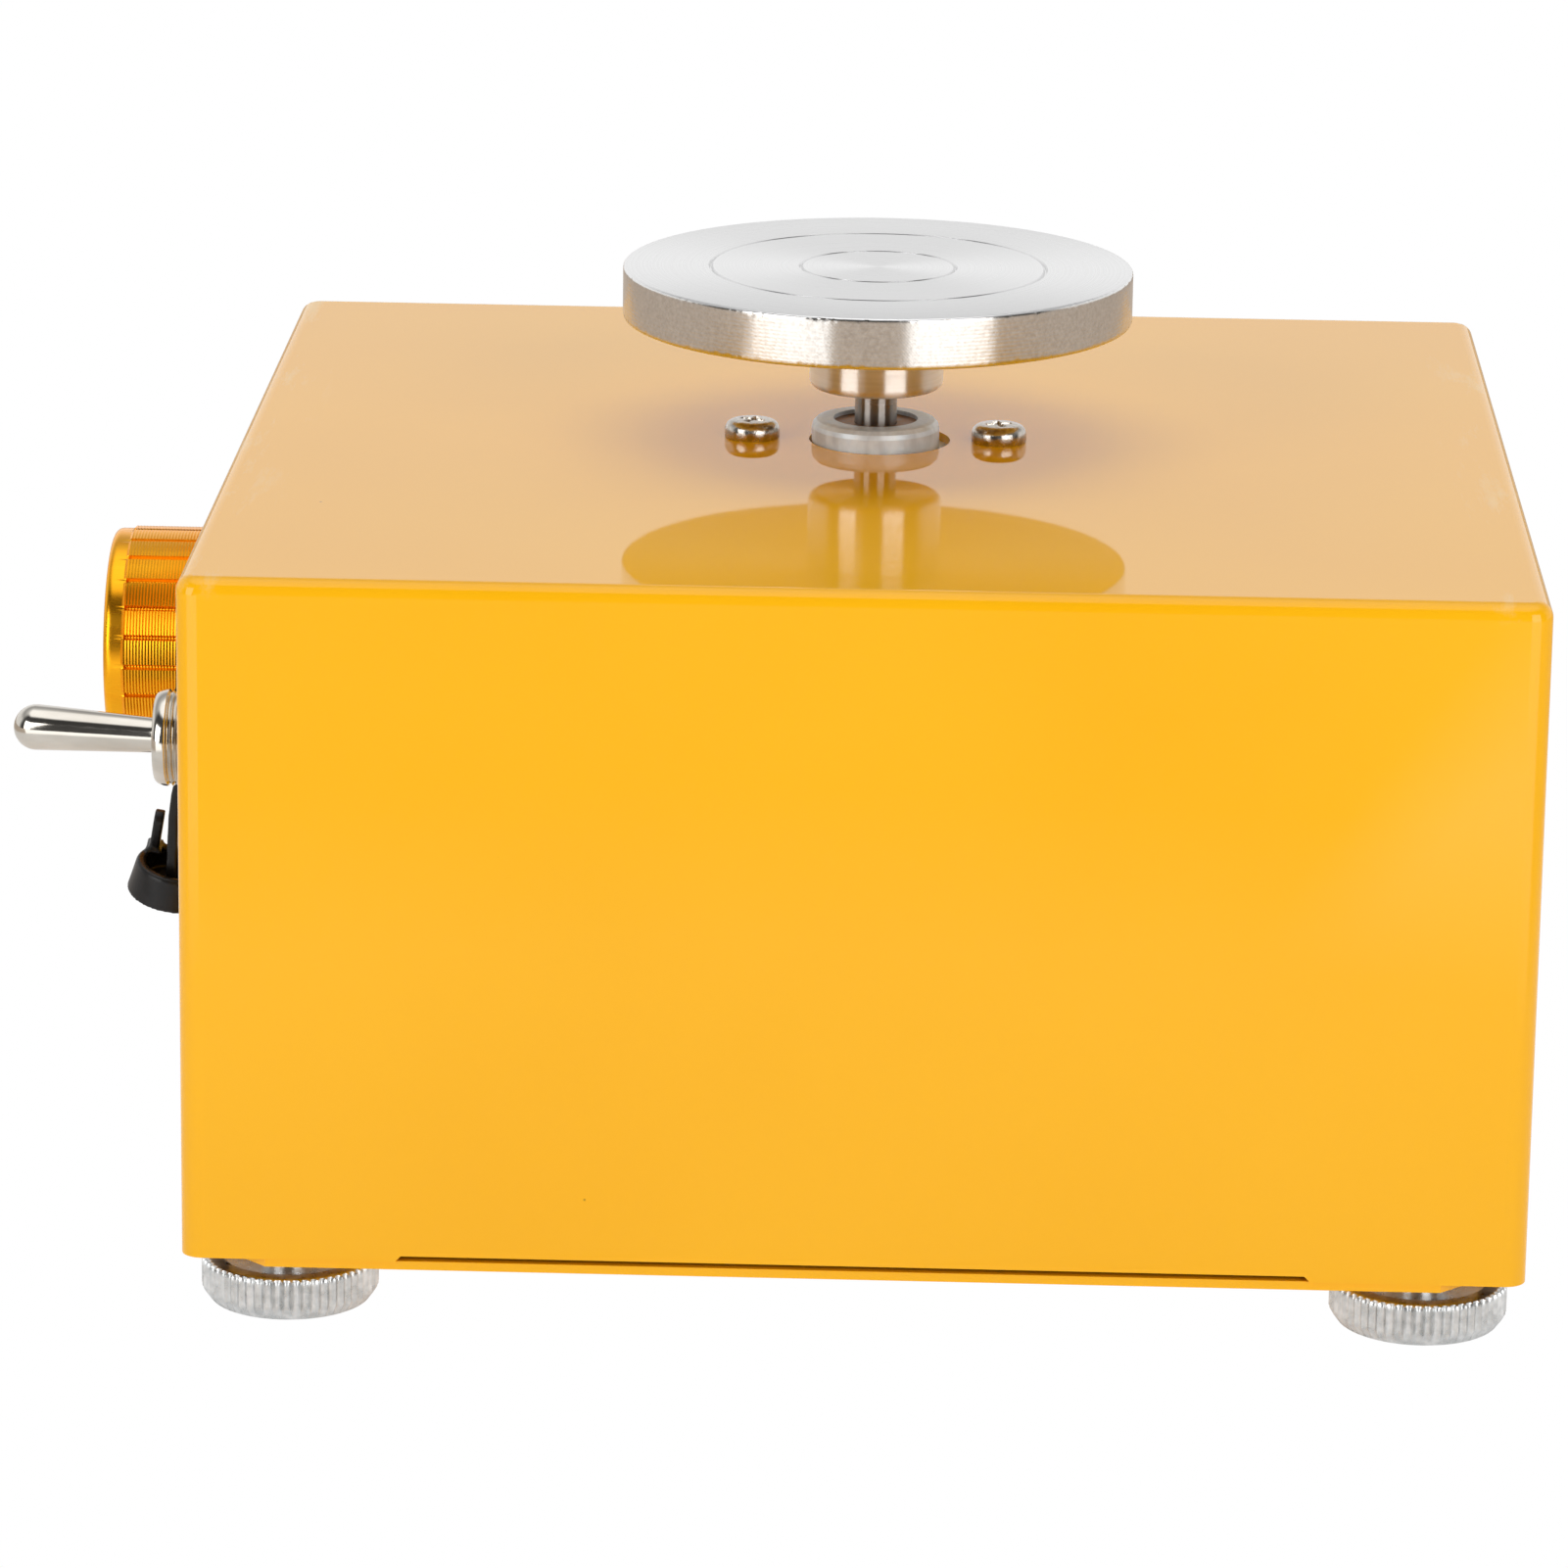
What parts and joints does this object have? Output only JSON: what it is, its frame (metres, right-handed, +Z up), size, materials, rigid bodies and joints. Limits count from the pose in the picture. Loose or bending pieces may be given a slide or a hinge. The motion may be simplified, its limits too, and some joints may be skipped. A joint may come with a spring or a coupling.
{
  "type": "tabletop pottery wheel",
  "caption": "Small motor-driven tabletop pottery wheel: folded metal box with a round turntable, side speed knob, toggle switch, capped power socket and knurled levelling feet.",
  "frame": {"origin": "middle of the whole object's footprint box, at the level the feet stand on", "axes": "+Z up along the spindle, -X towards the control side with knob, switch and socket, -Y towards the viewer's side, right handed"},
  "size_m": [0.1726, 0.15, 0.1067],
  "materials": {
    "yellow_paint": "glossy baked enamel",
    "turned_aluminium": "fine turned",
    "zinc_plate": "bright zinc plated",
    "nickel_plate": "bright nickel plated",
    "gold_anodised": "gold anodised, turned",
    "black_rubber": "matt",
    "black_plastic": "moulded",
    "white_plastic": "moulded",
    "green_board": "solder-masked board",
    "green_plastic": "moulded",
    "polished_steel": "ground",
    "black_oxide": "black oxide",
    "bronze": "sintered, oiled",
    "brass": "plain",
    "copper": "enamelled wire",
    "ferrite": "ferrite",
    "lamination": "stacked sheet",
    "carbon": "pressed carbon",
    "black_aluminium": "black anodised",
    "wire_jacket": "soft jacket"
  },
  "bodies": {
    "housing": {"cover": "yellow_paint", "bottom_plate": "yellow_paint", "plate_screws": "zinc_plate", "foot_nuts": "zinc_plate", "motor_can": "zinc_plate", "motor_end_cap": "black_plastic", "motor_bushings": "bronze", "motor_magnets": "ferrite", "motor_brushes": "carbon", "motor_terminals": "brass", "motor_screws": "nickel_plate", "pot_body": "zinc_plate", "pot_bushing": "brass", "pot_washer": "nickel_plate", "pot_nut": "nickel_plate", "pot_lugs": "brass", "switch_bushing": "nickel_plate", "switch_body": "black_plastic", "switch_nuts": "nickel_plate", "switch_lugs": "brass", "socket_body": "black_plastic", "socket_pin": "nickel_plate", "socket_nut": "nickel_plate", "socket_lug": "brass", "dust_cap_ring": "black_rubber", "board": "green_board", "board_standoffs": "brass", "board_screws": "zinc_plate", "board_capacitor": "black_plastic", "board_transistor": "black_plastic", "board_heatsink": "black_aluminium", "board_terminals": "green_plastic", "board_header": "white_plastic", "wires_speed_control": "wire_jacket", "wires_motor": "wire_jacket", "wires_power": "wire_jacket"},
    "spindle": {"motor_shaft": "polished_steel", "rotor_core": "lamination", "rotor_windings": "copper", "rotor_commutator": "copper", "turntable": "turned_aluminium", "turntable_hub": "turned_aluminium", "hub_set_screw": "black_oxide"},
    "speed_control": {"speed_knob": "gold_anodised", "knob_set_screw": "black_oxide", "pot_shaft": "brass", "pot_wiper": "white_plastic"},
    "switch_lever": {"switch_lever": "nickel_plate"},
    "switch_rocker": {"switch_rocker": "brass"},
    "dust_cap": {"dust_cap": "black_rubber"},
    "stud_front_left": {"foot_stud_front_left": "zinc_plate"},
    "disc_front_left": {"foot_disc_front_left": "zinc_plate"},
    "stud_front_right": {"foot_stud_front_right": "zinc_plate"},
    "disc_front_right": {"foot_disc_front_right": "zinc_plate"},
    "stud_back_left": {"foot_stud_back_left": "zinc_plate"},
    "disc_back_left": {"foot_disc_back_left": "zinc_plate"},
    "stud_back_right": {"foot_stud_back_right": "zinc_plate"},
    "disc_back_right": {"foot_disc_back_right": "zinc_plate"}
  },
  "joints": [
    {"name": "turntable_spin", "type": "hinge", "parent": "housing", "child": "spindle", "pos_m": [0.0113, 0, 0.1067], "axis": [0, 0, 1], "continuous": true},
    {"name": "speed_turn", "type": "hinge", "parent": "housing", "child": "speed_control", "pos_m": [-0.0637, 0.0025, 0.059], "axis": [-1, 0, 0], "range_deg": [-60, 240]},
    {"name": "switch_throw", "type": "hinge", "parent": "housing", "child": "switch_lever", "pos_m": [-0.0651, -0.042, 0.059], "axis": [0, 0, 1], "range_deg": [0, 20]},
    {"name": "rocker_tip", "type": "hinge", "parent": "housing", "child": "switch_rocker", "pos_m": [-0.0431, -0.042, 0.059], "axis": [0, 0, 1], "range_deg": [-8, 0]},
    {"name": "dust_cap_swing", "type": "hinge", "parent": "housing", "child": "dust_cap", "pos_m": [-0.0686, -0.022, 0.0515], "axis": [0, 1, 0], "range_deg": [0, 85]},
    {"name": "foot_drop_front_left", "type": "slide", "parent": "housing", "child": "stud_front_left", "axis": [0, 0, -1], "range_m": [-0.0015, 0.004]},
    {"name": "foot_turn_front_left", "type": "hinge", "parent": "stud_front_left", "child": "disc_front_left", "pos_m": [-0.0524, -0.064, 0], "axis": [0, 0, -1], "range_deg": [-541, 1441]},
    {"name": "foot_drop_front_right", "type": "slide", "parent": "housing", "child": "stud_front_right", "axis": [0, 0, -1], "range_m": [-0.0015, 0.004]},
    {"name": "foot_turn_front_right", "type": "hinge", "parent": "stud_front_right", "child": "disc_front_right", "pos_m": [0.075, -0.064, 0], "axis": [0, 0, -1], "range_deg": [-541, 1441]},
    {"name": "foot_drop_back_left", "type": "slide", "parent": "housing", "child": "stud_back_left", "axis": [0, 0, -1], "range_m": [-0.0015, 0.004]},
    {"name": "foot_turn_back_left", "type": "hinge", "parent": "stud_back_left", "child": "disc_back_left", "pos_m": [-0.0524, 0.064, 0], "axis": [0, 0, -1], "range_deg": [-541, 1441]},
    {"name": "foot_drop_back_right", "type": "slide", "parent": "housing", "child": "stud_back_right", "axis": [0, 0, -1], "range_m": [-0.0015, 0.004]},
    {"name": "foot_turn_back_right", "type": "hinge", "parent": "stud_back_right", "child": "disc_back_right", "pos_m": [0.075, 0.064, 0], "axis": [0, 0, -1], "range_deg": [-541, 1441]}
  ],
  "couplings": [
    {"joint": "rocker_tip", "follows": "switch_throw", "ratio": -0.4},
    {"joint": "foot_turn_front_left", "follows": "foot_drop_front_left", "rad_per_m": 6283.2},
    {"joint": "foot_turn_front_right", "follows": "foot_drop_front_right", "rad_per_m": 6283.2},
    {"joint": "foot_turn_back_left", "follows": "foot_drop_back_left", "rad_per_m": 6283.2},
    {"joint": "foot_turn_back_right", "follows": "foot_drop_back_right", "rad_per_m": 6283.2}
  ]
}
